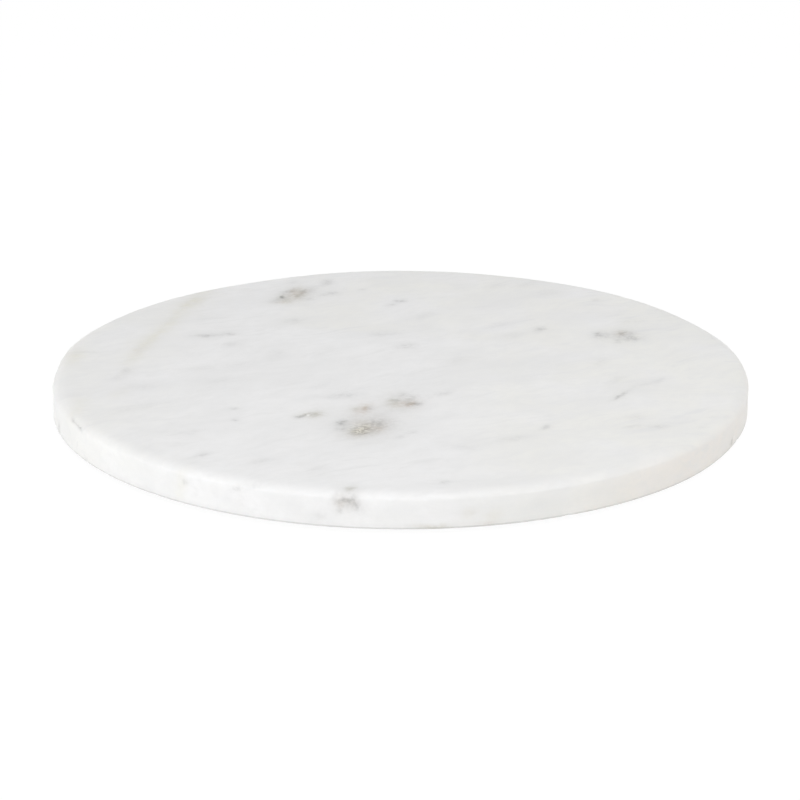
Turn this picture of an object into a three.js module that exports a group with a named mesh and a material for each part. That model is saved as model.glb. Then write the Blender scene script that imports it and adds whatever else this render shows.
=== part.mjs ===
// A round marble serving board: one solid disc of white stone with softened edges, standing on
// four clear bumper feet. A thin adhesive disc bonds each foot to the flat underside of the stone.
// Units are millimetres and +Z is up. The origin lies on the table, under the middle of the board,
// and -Y is the front.
import * as THREE from 'three';

// Stone disc
const BOARD_DIAMETER = 300;
const BOARD_THICKNESS = 15;
const TOP_EDGE_RADIUS = 3;
const LOWER_EDGE_RADIUS = 1;

// Moulded feet: a wide base against the stone, a domed side and a flat tread on the table
const FOOT_BASE_DIAMETER = 12.7;
const FOOT_TREAD_DIAMETER = 8.5;
const FOOT_HEIGHT = 1.75;
const FOOT_BASE_BAND = 0.5;
const FOOT_INSET = 45;
const FOOT_NAMES = ['front_left', 'front_right', 'back_right', 'back_left'];
const FIRST_FOOT_ANGLE = 225;

// Adhesive discs, a little smaller than the foot so that no glue shows at its edge
const ADHESIVE_THICKNESS = 0.25;
const ADHESIVE_MARGIN = 0.5;

// Facets of the round forms
const BOARD_SIDES = 144;
const FOOT_SIDES = 40;
const BOARD_EDGE_STEPS = 6;
const FOOT_DOME_STEPS = 5;

// Levels and places that follow from the sizes above
const ADHESIVE_BOTTOM = FOOT_HEIGHT;
const BOARD_BOTTOM = ADHESIVE_BOTTOM + ADHESIVE_THICKNESS;
const BOARD_TOP = BOARD_BOTTOM + BOARD_THICKNESS;
const FOOT_CIRCLE_RADIUS = BOARD_DIAMETER / 2 - FOOT_INSET;

const QUARTER_TURN = Math.PI / 2;

// Points of a quarter ellipse in a lathe profile, from one angle on by a quarter turn.
function quarterCurve(centreRadius, centreHeight, across, up, startAngle, steps) {
  const points = [];
  for (let step = 0; step <= steps; step += 1) {
    const angle = startAngle + (QUARTER_TURN * step) / steps;
    const radius = centreRadius + across * Math.cos(angle);
    const height = centreHeight + up * Math.sin(angle);
    points.push(new THREE.Vector2(radius, height));
  }
  return points;
}

// Turns a profile, which runs from the axis at its foot to the axis at its head, into a solid
// about the Z axis.
function turnedSolid(profile, sides) {
  const solid = new THREE.LatheGeometry(profile, sides);
  solid.rotateX(QUARTER_TURN);
  return solid;
}

function stoneDisc() {
  const radius = BOARD_DIAMETER / 2;
  const lowerEdge = quarterCurve(
    radius - LOWER_EDGE_RADIUS,
    BOARD_BOTTOM + LOWER_EDGE_RADIUS,
    LOWER_EDGE_RADIUS,
    LOWER_EDGE_RADIUS,
    -QUARTER_TURN,
    BOARD_EDGE_STEPS,
  );
  const topEdge = quarterCurve(
    radius - TOP_EDGE_RADIUS,
    BOARD_TOP - TOP_EDGE_RADIUS,
    TOP_EDGE_RADIUS,
    TOP_EDGE_RADIUS,
    0,
    BOARD_EDGE_STEPS,
  );
  const profile = [
    new THREE.Vector2(0, BOARD_BOTTOM),
    ...lowerEdge,
    ...topEdge,
    new THREE.Vector2(0, BOARD_TOP),
  ];
  return turnedSolid(profile, BOARD_SIDES);
}

function bumperFoot() {
  const baseRadius = FOOT_BASE_DIAMETER / 2;
  const treadRadius = FOOT_TREAD_DIAMETER / 2;
  const domeHeight = FOOT_HEIGHT - FOOT_BASE_BAND;
  const domedSide = quarterCurve(
    treadRadius,
    domeHeight,
    baseRadius - treadRadius,
    domeHeight,
    -QUARTER_TURN,
    FOOT_DOME_STEPS,
  );
  const profile = [
    new THREE.Vector2(0, 0),
    ...domedSide,
    new THREE.Vector2(baseRadius, FOOT_HEIGHT),
    new THREE.Vector2(0, FOOT_HEIGHT),
  ];
  return turnedSolid(profile, FOOT_SIDES);
}

function adhesiveDisc() {
  const radius = FOOT_BASE_DIAMETER / 2 - ADHESIVE_MARGIN;
  const profile = [
    new THREE.Vector2(0, ADHESIVE_BOTTOM),
    new THREE.Vector2(radius, ADHESIVE_BOTTOM),
    new THREE.Vector2(radius, BOARD_BOTTOM),
    new THREE.Vector2(0, BOARD_BOTTOM),
  ];
  return turnedSolid(profile, FOOT_SIDES);
}

function honedMarble() {
  return new THREE.MeshStandardMaterial({ color: 0xebebea, roughness: 0.42, metalness: 0 });
}

function clearSilicone() {
  return new THREE.MeshStandardMaterial({ color: 0xd9dcdb, roughness: 0.35, metalness: 0 });
}

function acrylicAdhesive() {
  return new THREE.MeshStandardMaterial({ color: 0xe6e2d6, roughness: 0.6, metalness: 0 });
}

function namedMesh(name, geometry, material) {
  const mesh = new THREE.Mesh(geometry, material);
  mesh.name = name;
  return mesh;
}

// One foot with its adhesive, ready to be moved to its place under the board.
function footAssembly(place) {
  const assembly = new THREE.Group();
  assembly.add(namedMesh(`foot_${place}`, bumperFoot(), clearSilicone()));
  assembly.add(namedMesh(`adhesive_${place}`, adhesiveDisc(), acrylicAdhesive()));
  return assembly;
}

const servingBoard = new THREE.Group();
servingBoard.add(namedMesh('marble_slab', stoneDisc(), honedMarble()));

FOOT_NAMES.forEach((place, index) => {
  const degrees = FIRST_FOOT_ANGLE + (360 * index) / FOOT_NAMES.length;
  const angle = THREE.MathUtils.degToRad(degrees);
  const foot = footAssembly(place);
  foot.position.set(FOOT_CIRCLE_RADIUS * Math.cos(angle), FOOT_CIRCLE_RADIUS * Math.sin(angle), 0);
  servingBoard.add(foot);
});

export default servingBoard;
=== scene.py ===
# %% [markdown]
# A round marble serving board, told as a lesson. The real board is one disc of white marble, sawn from
# a block, turned round and honed, with a softly rounded top edge. Under it sit four clear bumper feet,
# each held by its own adhesive disc. A CAD model gives the main sizes, so this script starts by loading
# it and only adds what a CAD model lacks: the marks in the stone, the small hurts of its edge, the finish
# of each surface, and light. All stone sizes below are in millimetres, and Blender works in metres.

# %% Load the CAD model
import math

import bmesh
import bpy
import numpy as np
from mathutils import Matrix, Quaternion, Vector, noise


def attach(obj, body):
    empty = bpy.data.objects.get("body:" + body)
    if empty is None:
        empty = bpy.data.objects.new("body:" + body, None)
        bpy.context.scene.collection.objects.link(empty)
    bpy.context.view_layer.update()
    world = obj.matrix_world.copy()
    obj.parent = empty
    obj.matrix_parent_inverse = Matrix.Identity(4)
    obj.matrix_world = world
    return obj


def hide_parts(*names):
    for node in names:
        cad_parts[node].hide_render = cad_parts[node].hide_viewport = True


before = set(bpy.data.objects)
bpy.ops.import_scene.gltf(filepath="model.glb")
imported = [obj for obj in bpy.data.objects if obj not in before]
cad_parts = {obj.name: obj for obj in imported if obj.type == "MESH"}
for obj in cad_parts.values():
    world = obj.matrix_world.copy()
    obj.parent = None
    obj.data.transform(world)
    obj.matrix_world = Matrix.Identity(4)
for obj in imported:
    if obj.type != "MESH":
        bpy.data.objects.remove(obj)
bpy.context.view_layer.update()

MM = 0.001
print("CAD pieces:", sorted(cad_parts))

# %% [markdown]
# Before anything is drawn, the board's own sizes are read from the CAD disc. They could be typed in again,
# but then a change in the CAD model would leave the looks behind. The two edge radii show themselves in
# the flat faces: each face is as much smaller than the board as its edge is round.

# %% Measure the stone disc
TOUCH = 0.01


def node_points(name):
    """The corners of a CAD piece, in millimetres."""
    return np.array([vertex.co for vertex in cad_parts[name].data.vertices]) / MM


slab_points = node_points("marble_slab")
slab_reach = np.hypot(slab_points[:, 0], slab_points[:, 1])
board_radius = slab_reach.max()
board_bottom = slab_points[:, 2].min()
board_top = slab_points[:, 2].max()
board_thickness = board_top - board_bottom
top_edge_radius = board_radius - slab_reach[slab_points[:, 2] > board_top - TOUCH].max()
lower_edge_radius = board_radius - slab_reach[slab_points[:, 2] < board_bottom + TOUCH].max()
print(f"board {2 * board_radius:.1f} mm across, {board_thickness:.1f} mm thick")
print(f"edge radii {top_edge_radius:.2f} mm above and {lower_edge_radius:.2f} mm below")

# %% [markdown]
# The camera stands where the photographer stood: low in front of the board, with a long lens. A long lens
# from far away keeps the ellipse of the rim almost even from front to back. The numbers below were found
# by fitting the board's outline, so the lens needs no shift and the camera simply looks at a point close
# to the middle of the stone. The tiny roll is the tilt of a camera that was levelled by eye.

# %% Set the camera
VIEW_ELEVATION = math.radians(19.33)
VIEW_ROLL = math.radians(0.19)
VIEW_DISTANCE = 1.3
LENS_LENGTH = 134.85
SENSOR_WIDTH = 36.0
AIM_SIDEWAYS = -0.3
AIM_ABOVE_UNDERSIDE = 0.71

aim = Vector((AIM_SIDEWAYS, 0, board_bottom + AIM_ABOVE_UNDERSIDE)) * MM
camera_data = bpy.data.cameras.new("product_camera")
camera_data.sensor_width = SENSOR_WIDTH
camera_data.lens = LENS_LENGTH
camera = bpy.data.objects.new("product_camera", camera_data)
bpy.context.scene.collection.objects.link(camera)
towards_camera = Vector((0, -math.cos(VIEW_ELEVATION), math.sin(VIEW_ELEVATION)))
camera.location = aim + VIEW_DISTANCE * towards_camera
looking = (-towards_camera).to_track_quat("-Z", "Y")
camera.rotation_euler = (looking @ Quaternion((0, 0, 1), VIEW_ROLL)).to_euler()
bpy.context.scene.camera = camera
bpy.context.scene.view_settings.view_transform = "Standard"
print("camera at", [round(value, 3) for value in camera.location])

# %% [markdown]
# Every material here is a tree of nodes. Building one by hand takes many lines, so a few small helpers come
# first: one adds a node and fills or links its sockets by name, one does sums, and one remaps a value from
# one range to another with soft ends.

# %% Helpers that add nodes
def fill_socket(tree, socket, value):
    if isinstance(value, bpy.types.NodeSocket):
        tree.links.new(value, socket)
    else:
        socket.default_value = value


def add_node(tree, kind, settings=None, **sockets):
    node = tree.nodes.new("ShaderNode" + kind)
    for name, value in (settings or {}).items():
        setattr(node, name, value)
    for name, value in sockets.items():
        fill_socket(tree, node.inputs[name.replace("_", " ")], value)
    return node


def sums(tree, operation, first, second=0.0, clamp=False):
    node = add_node(tree, "Math", {"operation": operation, "use_clamp": clamp})
    fill_socket(tree, node.inputs[0], first)
    fill_socket(tree, node.inputs[1], second)
    return node.outputs[0]


def soft_range(tree, value, start, end, low=0.0, high=1.0):
    node = add_node(tree, "MapRange", {"interpolation_type": "SMOOTHSTEP"})
    for index, setting in enumerate((value, start, end, low, high)):
        fill_socket(tree, node.inputs[index], setting)
    return node.outputs[0]


print("helpers for nodes ready")

# %% [markdown]
# Three more helpers mix: one mixes colours, one blends between two shaders and one adds two shaders up. A
# fourth finds out whether the camera sees a place, straight or in a reflection, which lets the studio look
# pure white without lighting the board any harder. The last one starts an empty material.

# %% Helpers that mix
def mix_colours(tree, amount, first, second):
    node = add_node(tree, "Mix", {"data_type": "RGBA", "clamp_factor": True})
    colour_sockets = [socket for socket in node.inputs if socket.type == "RGBA"]
    fill_socket(tree, node.inputs[0], amount)
    fill_socket(tree, colour_sockets[0], first)
    fill_socket(tree, colour_sockets[1], second)
    return next(socket for socket in node.outputs if socket.type == "RGBA")


def blend_shaders(tree, amount, first, second):
    node = add_node(tree, "MixShader")
    fill_socket(tree, node.inputs[0], amount)
    fill_socket(tree, node.inputs[1], first.outputs[0])
    fill_socket(tree, node.inputs[2], second.outputs[0])
    return node


def add_shaders(tree, first, second):
    node = add_node(tree, "AddShader")
    fill_socket(tree, node.inputs[0], first.outputs[0])
    fill_socket(tree, node.inputs[1], second.outputs[0])
    return node


def seen_directly(tree):
    """One where the camera looks, straight or by way of a reflection or a clear piece."""
    path = add_node(tree, "LightPath")
    seen = sums(tree, "MAXIMUM", path.outputs["Is Camera Ray"], path.outputs["Is Glossy Ray"])
    return sums(tree, "MAXIMUM", seen, path.outputs["Is Transmission Ray"])


def new_material(name):
    material = bpy.data.materials.new(name)
    material.use_nodes = True
    material.node_tree.nodes.clear()
    return material, material.node_tree


print("helpers for mixing ready")

# %% [markdown]
# The light is a plain studio. About half of it comes from a dim dome, dimmer still behind the board. A
# picture of a real studio would be quicker, but it would bring its own colours, so the dome's level simply
# follows the direction. Its pure white is only what the camera and the reflections see of it.

# %% Light the dome
ZENITH_LEVEL = 0.735
HORIZON_LEVEL = 0.30
BACK_SHARE = 0.77
BACK_FADE = (-0.3, 0.4)
WHITE = (1, 1, 1, 1)

world = bpy.data.worlds.new("white_studio")
bpy.context.scene.world = world
world.use_nodes = True
sky = world.node_tree
sky.nodes.clear()
sky_direction = add_node(sky, "SeparateXYZ", Vector=add_node(sky, "TexCoord").outputs["Generated"])
sky_level = soft_range(sky, sky_direction.outputs["Z"], 0.0, 1.0, HORIZON_LEVEL, ZENITH_LEVEL)
sky_share = soft_range(sky, sky_direction.outputs["Y"], *BACK_FADE, 1.0, BACK_SHARE)
dome = add_node(sky, "Background", Color=WHITE, Strength=sums(sky, "MULTIPLY", sky_level, sky_share))
backdrop = add_node(sky, "Background", Color=WHITE, Strength=1.0)
studio = blend_shaders(sky, seen_directly(sky), dome, backdrop)
add_node(sky, "OutputWorld", Surface=studio.outputs[0])
print("dome from", HORIZON_LEVEL, "at the horizon to", ZENITH_LEVEL, "overhead")

# %% [markdown]
# Two lamps give the light its direction. A soft box hangs over the front, a little to the right, so that the
# top gets slowly darker towards the back. A wide card stands low on the left and makes the rim brighter
# there. More lamps could shape the rim further, but these are enough to show how round it is.

# %% Hang the lamps
SOFT_BOXES = {
    "front_box": {"bearing": 20, "elevation": 66, "away": 1.0, "size": (1.2, 0.8), "power": 5.25},
    "left_card": {"bearing": -55, "elevation": 12, "away": 1.8, "size": (2.4, 0.72), "power": 9.4},
}

for name, box in SOFT_BOXES.items():
    lamp = bpy.data.lights.new(name, "AREA")
    lamp.shape = "RECTANGLE"
    lamp.size, lamp.size_y = box["size"]
    lamp.energy = box["power"]
    holder = bpy.data.objects.new(name, lamp)
    bpy.context.scene.collection.objects.link(holder)
    bearing = math.radians(box["bearing"])
    elevation = math.radians(box["elevation"])
    flat = math.cos(elevation)
    direction = Vector((flat * math.sin(bearing), -flat * math.cos(bearing), math.sin(elevation)))
    holder.location = direction * box["away"]
    holder.rotation_euler = (-direction).to_track_quat("-Z", "Y").to_euler()
print("lamps:", ", ".join(SOFT_BOXES))

# %% [markdown]
# The floor is white paper on a light table, as small goods are often photographed. A square would do as well,
# but a large disc has no corner that could come into view from another side.

# %% Lay the floor
FLOOR_RADIUS = 5.0
FLOOR_SIDES = 96

floor_form = bmesh.new()
bmesh.ops.create_circle(floor_form, cap_ends=True, segments=FLOOR_SIDES, radius=FLOOR_RADIUS)
floor_mesh = bpy.data.meshes.new("paper_floor")
floor_form.to_mesh(floor_mesh)
floor_form.free()
floor = bpy.data.objects.new("paper_floor", floor_mesh)
bpy.context.scene.collection.objects.link(floor)
print("floor", 2 * FLOOR_RADIUS, "m across")

# %% [markdown]
# The paper bounces light back under the rim and glows a little itself, except where the board covers it,
# which keeps the lower part of the rim from going dark. For the camera it glows more, so that it comes out
# white wherever it is well lit, and only the faint shadow close to the board stays visible. It could glow
# alone, but then the board would seem to float.

# %% Light the paper
SHOWN_GLOW = 0.96
SHOWN_SHADE = (0.06, 0.06, 0.06, 1)
TABLE_GLOW = 0.33
GLOW_START = 3.0
PAPER_WHITE = (0.90, 0.90, 0.895, 1)

paper, paper_tree = new_material("lit_paper")
paper_place = add_node(paper_tree, "VectorMath", {"operation": "LENGTH"})
fill_socket(paper_tree, paper_place.inputs[0], add_node(paper_tree, "TexCoord").outputs["Object"])
glow_inside = (board_radius - GLOW_START) * MM
glow_outside = (board_radius + GLOW_START) * MM
table_glow = soft_range(paper_tree, paper_place.outputs["Value"], glow_inside, glow_outside, 0.0, TABLE_GLOW)


def glowing_paper(glow, colour):
    light = add_node(paper_tree, "Emission", Color=WHITE, Strength=glow)
    return add_shaders(paper_tree, light, add_node(paper_tree, "BsdfDiffuse", Color=colour))


paper_shown = glowing_paper(SHOWN_GLOW, SHOWN_SHADE)
paper_light = glowing_paper(table_glow, PAPER_WHITE)
paper_finish = blend_shaders(paper_tree, seen_directly(paper_tree), paper_light, paper_shown)
add_node(paper_tree, "OutputMaterial", Surface=paper_finish.outputs[0])
floor_mesh.materials.append(paper)
print("paper glows", TABLE_GLOW, "and shows", SHOWN_GLOW, "to the camera")

# %% [markdown]
# The stone disc is rebuilt as a finer mesh than the CAD one, because the marks and small hurts need points
# to hold them. A fan of triangles would crowd at the middle. Instead a square grid is bent into a disc:
# the grid's square rings become round rings, and every face stays a near square, 1.4 millimetres wide.

# %% Bend a grid into a disc
TOP_RINGS = 104
RIM_POINTS_PER_LOW_POINT = 4


def disc_grid(rings, radius):
    """Points and faces of a disc made from a square grid, and its edge points in turning order."""
    side = 2 * rings + 1
    steps = np.arange(side) - rings
    across, along = np.meshgrid(steps, steps, indexing="ij")
    wide = np.abs(across) >= np.abs(along)
    main = np.where(wide, across, along).astype(float)
    other = np.where(wide, along, across)
    slant = math.pi / 4 * other / np.where(main == 0, 1, main)
    angle = np.where(wide, slant, math.pi / 2 - slant)
    reach = main * radius / rings
    points = np.stack([reach * np.cos(angle), reach * np.sin(angle)], axis=-1).reshape(-1, 2)
    first = (np.arange(side - 1)[:, None] * side + np.arange(side - 1)).reshape(-1, 1)
    faces = first + np.array([0, side, side + 1, 1])
    on_edge = np.flatnonzero((np.maximum(np.abs(across), np.abs(along)) == rings).reshape(-1))
    turn = np.arctan2(points[on_edge, 1], points[on_edge, 0])
    return points, faces, on_edge[np.argsort(turn)]


flat_top_radius = board_radius - top_edge_radius
top_points, top_faces, top_rim = disc_grid(TOP_RINGS, flat_top_radius)
print(len(top_points), "points in the top face,", len(top_rim), "round its edge")

# %% [markdown]
# The rim goes down from the edge of the top face in rings: round the top edge, straight down the side and
# round the lower edge. Each ring is one pair of numbers, its reach from the middle and its height. A Bevel
# modifier on a plain disc would round the edges too, but would not say where its rings come to lie.

# %% Profile of the rim
TOP_EDGE_STEPS = 10
SIDE_STEPS = 11
LOWER_EDGE_STEPS = 5

side_top = board_top - top_edge_radius
side_low = board_bottom + lower_edge_radius
flat_low_radius = board_radius - lower_edge_radius


def rim_profile():
    """Reach and height of each ring, from just below the top face down to the underside."""
    rings = []
    for step in range(1, TOP_EDGE_STEPS + 1):
        angle = math.pi / 2 * (1 - step / TOP_EDGE_STEPS)
        reach = flat_top_radius + top_edge_radius * math.cos(angle)
        rings.append((reach, side_top + top_edge_radius * math.sin(angle)))
    for step in range(1, SIDE_STEPS + 1):
        rings.append((board_radius, side_top + (side_low - side_top) * step / SIDE_STEPS))
    for step in range(1, LOWER_EDGE_STEPS + 1):
        angle = math.pi / 2 * step / LOWER_EDGE_STEPS
        reach = flat_low_radius + lower_edge_radius * math.cos(angle)
        rings.append((reach, side_low - lower_edge_radius * math.sin(angle)))
    return rings


print(len(rim_profile()), "rings down the rim")

# %% [markdown]
# A lathe tool or a spin would make the same rings, but here they have to use the very points of the top
# face, so that the stone is one closed skin. The underside is a coarser disc of the same kind, and one
# ring of wider faces joins four rim points to each of its points.

# %% Build the stone's skin
JOINING_BAND = 4.0


def stone_skin():
    """The closed skin of the disc, as points in millimetres and lists of corner numbers."""
    around = len(top_rim)
    following = (np.arange(around) + 1) % around
    unit = top_points[top_rim] / flat_top_radius
    points = [np.column_stack([top_points, np.full(len(top_points), board_top)])]
    faces = top_faces.tolist()
    upper = top_rim
    count = len(top_points)
    for reach, height in rim_profile():
        points.append(np.column_stack([unit * reach, np.full(around, height)]))
        lower = count + np.arange(around)
        faces += np.stack([upper, lower, lower[following], upper[following]], axis=1).tolist()
        upper = lower
        count += around
    low_points, low_faces, low_rim = disc_grid(
        TOP_RINGS // RIM_POINTS_PER_LOW_POINT, flat_low_radius - JOINING_BAND
    )
    points.append(np.column_stack([low_points, np.full(len(low_points), board_bottom)]))
    faces += (low_faces[:, ::-1] + count).tolist()
    inner = low_rim + count
    share = RIM_POINTS_PER_LOW_POINT
    for index in range(len(inner)):
        fine = [int(upper[(share * index + step) % around]) for step in range(share + 1)]
        faces.append([int(inner[index]), int(inner[(index + 1) % len(inner)])] + fine[::-1])
    return np.concatenate(points), faces


skin_points, skin_faces = stone_skin()
slab_mesh = bpy.data.meshes.new("stone_slab")
slab_mesh.from_pydata((skin_points * MM).tolist(), [], skin_faces)
slab = bpy.data.objects.new("stone_slab", slab_mesh)
bpy.context.scene.collection.objects.link(slab)
print(len(skin_points), "points and", len(skin_faces), "faces in the stone's skin")

# %% [markdown]
# Natural marble is known by its marks. A painted image would be the quick way, but it would not follow
# round the edge. Here each mark is a small cloud inside the stone: a middle, a length, a width, a turn and
# how much grey, rust, olive or gold mineral it holds. Where the cloud meets the surface it shows. A mark
# can also hold glittering crystal, pale bruised stone, or a pit, which is a hollow given in millimetres.

# %% Describe a mark
MARK_DEPTH = 5.0
BEDDING_TURN = 30
VEIN_OVERLAP = 1.5
marks = []


def face_mark(x, y, length, width, turn=BEDDING_TURN, depth=MARK_DEPTH, **holds):
    """A mark in the top face, with x to the right and y to the back of the board's middle."""
    size = (length / 2, width / 2, depth)
    marks.append({"on_rim": False, "at": (x, y), "size": size, "turn": math.radians(turn), "holds": holds})


def rim_mark(bearing, height, length, width, turn=0, depth=MARK_DEPTH, **holds):
    """A mark in the rim, with the bearing in degrees from the front and the height above the underside."""
    size = (length / 2, width / 2, depth)
    at = (bearing, height)
    marks.append({"on_rim": True, "at": at, "size": size, "turn": math.radians(turn), "holds": holds})


def vein(points, width, **holds):
    """A chain of long marks through a few points of the top face."""
    for (x1, y1), (x2, y2) in zip(points, points[1:]):
        length = VEIN_OVERLAP * math.hypot(x2 - x1, y2 - y1)
        turn = math.degrees(math.atan2(y2 - y1, x2 - x1))
        face_mark((x1 + x2) / 2, (y1 + y2) / 2, length, width, turn, **holds)


print("a mark is a soft ellipsoid of mineral in the stone")

# %% [markdown]
# How much of a mark a place gets depends on its distance from the mark's middle. A plain distance would make
# every mark a ball, so it is measured along the mark's own length, width and depth, with one at its edge. For
# a mark in the rim it is measured on the unrolled rim, because a straight ruler would leave the curved stone.

# %% Measure the distance from a mark
def distance_in_mark(mark, points, margin=0.0):
    """Squared distance of points from a mark's middle, with one at the mark's own edge."""
    x, y, z = points.T
    if mark["on_rim"]:
        bearing = np.degrees(np.arctan2(x, -y))
        first = np.radians((bearing - mark["at"][0] + 180) % 360 - 180) * board_radius
        second = z - board_bottom - mark["at"][1]
        third = board_radius - np.hypot(x, y)
    else:
        first = x - mark["at"][0]
        second = y - mark["at"][1]
        third = board_top - z
    along = first * math.cos(mark["turn"]) + second * math.sin(mark["turn"])
    across = second * math.cos(mark["turn"]) - first * math.sin(mark["turn"])
    size = np.array(mark["size"]) + margin
    return (along / size[0]) ** 2 + (across / size[1]) ** 2 + (third / size[2]) ** 2


print("a distance of one is the edge of a mark")

# %% [markdown]
# The cluster that catches the eye first lies in front of the middle: a grey and brown patch with glittering
# yellowish crystals at its near corner. One large mark broken up by noise would be shorter, but its grains
# would lie anywhere. So it is written as a group of marks, from the broad faint halo to the small dark
# grains, the way it would be dabbed on with a brush.

# %% The cluster in front of the middle
face_mark(-13, -73, 31, 27, 60, grey=0.04, olive=0.014)
face_mark(-9.6, -71, 18, 9, 80, grey=0.17, rust=0.13)
face_mark(-11.3, -69.4, 9, 2.0, 88, grey=0.20)
face_mark(-8.6, -69, 8, 2.0, 85, grey=0.22)
face_mark(-9, -76, 8, 5, 80, rust=0.27, grey=0.06)
face_mark(-15.8, -77, 13, 7.8, 75, olive=0.42, rust=0.07, crystal=0.85, pit=0.08)
face_mark(-14.3, -75, 5, 2.6, 80, grey=0.40, olive=0.10)
face_mark(-15, -81.4, 6, 3, 10, grey=0.36, olive=0.20, pit=0.06)
face_mark(-18.4, -79.4, 4, 2.2, 60, olive=0.32, grey=0.06)
face_mark(-16.5, -67, 11, 7, 85, rust=0.09, grey=0.05)
face_mark(-18, -84.6, 9, 4.6, 20, rust=0.06, grey=0.03)
face_mark(-24.2, -69.5, 5.6, 3.6, 60, grey=0.46, pit=0.05)
face_mark(-24, -77.4, 4.6, 3.2, 0, grey=0.26)
face_mark(-22.3, -73, 14, 7, 80, grey=0.10, olive=0.05)
face_mark(-3.5, -70, 15, 9, 80, grey=0.08)
print(len(marks), "marks so far")

# %% [markdown]
# Three smaller neighbours lie behind it and to its left: a brown and olive patch, one rust-coloured spot
# where iron has leached into the stone, and a short dark streak with a pale fleck in it. One mark for each
# would do from far away, but would look like a dab of paint from near, so each is a small group as well.

# %% The three neighbours of the cluster
face_mark(1.5, -42, 21, 16, 80, grey=0.07)
face_mark(-3, -44, 12, 6, 85, olive=0.32, grey=0.05)
face_mark(-2.2, -40.6, 4.6, 3, 0, grey=0.22, olive=0.10)
face_mark(2.8, -45, 9, 7, 80, rust=0.36, grey=0.05)
face_mark(3.1, -46.6, 5, 2.3, 80, rust=0.32, grey=0.28, pit=0.05)
face_mark(5.2, -45.8, 5, 2.3, 80, rust=0.32, grey=0.25, pit=0.04)
face_mark(7.6, -45.8, 6, 3.4, 75, grey=0.31)
face_mark(1.4, -34.6, 4.8, 3.8, 20, grey=0.23)
face_mark(4.6, -38.5, 9, 4.8, 75, grey=0.17)
face_mark(-1, -47.6, 6, 4.6, 60, rust=0.10)

face_mark(-16, -53, 18, 11, 75, rust=0.06, grey=0.03)
face_mark(-15.6, -52.5, 12, 5.6, 82, rust=0.23)
face_mark(-14.4, -51.2, 4.6, 2.8, 80, rust=0.36, grey=0.05, pit=0.04)
face_mark(-12.4, -51.6, 5, 3, 80, grey=0.20)
face_mark(-18.5, -52.4, 4.6, 3.8, 70, olive=0.26, grey=0.05)

face_mark(-37, -60, 16, 11, 40, olive=0.07, grey=0.01)
face_mark(-41, -61.6, 5, 2.2, 40, grey=0.60, pit=0.06)
face_mark(-38.8, -59.6, 5, 2.1, 25, olive=0.40, grey=0.20)
face_mark(-37.8, -59.9, 2, 1.4, 30, bruise=0.8)
face_mark(-35.4, -59, 8, 5.2, 80, olive=0.31, grey=0.08)
print(len(marks), "marks so far")

# %% [markdown]
# A second large cluster lies near the back edge on the left. It is browner, with one small dark grain that
# is the darkest spot of the whole board. A turned copy of the first cluster would save lines, but the eye
# finds a repeated shape at once, so this one has marks of its own.

# %% The cluster at the back
face_mark(-49, 108, 27, 22, 70, grey=0.015, olive=0.014)
face_mark(-56, 104.6, 4.8, 2.3, 85, grey=0.58, olive=0.22, pit=0.08)
face_mark(-55, 101.8, 8.5, 6.5, 75, olive=0.26, grey=0.09)
face_mark(-58.8, 98.4, 7, 5, 70, grey=0.18)
face_mark(-56.4, 96.4, 6, 3.4, 10, rust=0.18)
face_mark(-53.6, 97, 5.4, 4, 60, olive=0.18)
face_mark(-54, 113.4, 6.4, 4.4, 70, grey=0.20)
face_mark(-51.3, 114.8, 6.6, 3.4, 80, rust=0.27, grey=0.14)
face_mark(-48.8, 117.2, 8, 5, 75, olive=0.20, grey=0.03)
face_mark(-46.2, 113, 5.6, 3.2, 75, rust=0.34, grey=0.36, pit=0.05)
face_mark(-42.8, 115, 8, 4.4, 70, grey=0.17)
face_mark(-51, 109, 13, 6, 82, rust=0.15, olive=0.05)
face_mark(-48, 107.6, 10.5, 6, 78, olive=0.21, rust=0.17, grey=0.05)
face_mark(-48.6, 106.2, 5.6, 3, 80, grey=0.18, olive=0.14)
face_mark(-54, 109, 9, 5, 75, grey=0.05, olive=0.02)
face_mark(-43.4, 101.6, 5.6, 4.8, 60, grey=0.16)
face_mark(-49, 98.6, 9, 5.6, 60, olive=0.08)
face_mark(-43, 108, 13, 7.6, 70, grey=0.03)
print(len(marks), "marks so far")

# %% [markdown]
# The third cluster, on the right, is mostly grey, with one brown grain in it. It is built like the other two,
# from a faint halo to the dark grains, with fewer marks because it is smaller and plainer.

# %% The cluster on the right
face_mark(98, 46.5, 26, 17, 40, grey=0.04)
face_mark(87.9, 48.4, 5.2, 3, 80, grey=0.40, pit=0.05)
face_mark(88.2, 49.2, 10, 5.6, 80, grey=0.07)
face_mark(91, 46.4, 7.2, 4.6, 65, grey=0.19)
face_mark(98.7, 50.0, 5.6, 4.8, 75, rust=0.42, grey=0.28, pit=0.06)
face_mark(101.4, 50, 10, 6.4, 70, grey=0.18)
face_mark(102.8, 43, 6.6, 5.8, 40, grey=0.36)
face_mark(96.7, 39.4, 7, 3.6, 80, grey=0.17)
face_mark(99.5, 45, 11, 7.6, 75, grey=0.06)
print(len(marks), "marks so far")

# %% [markdown]
# Between the clusters the face carries loose specks and short streaks, most of them along the bedding of
# the stone. They could be scattered at random, but then the face would lose its calm parts. The first numbers
# of each line are its place, so that a mark can be found again with a ruler.

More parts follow.
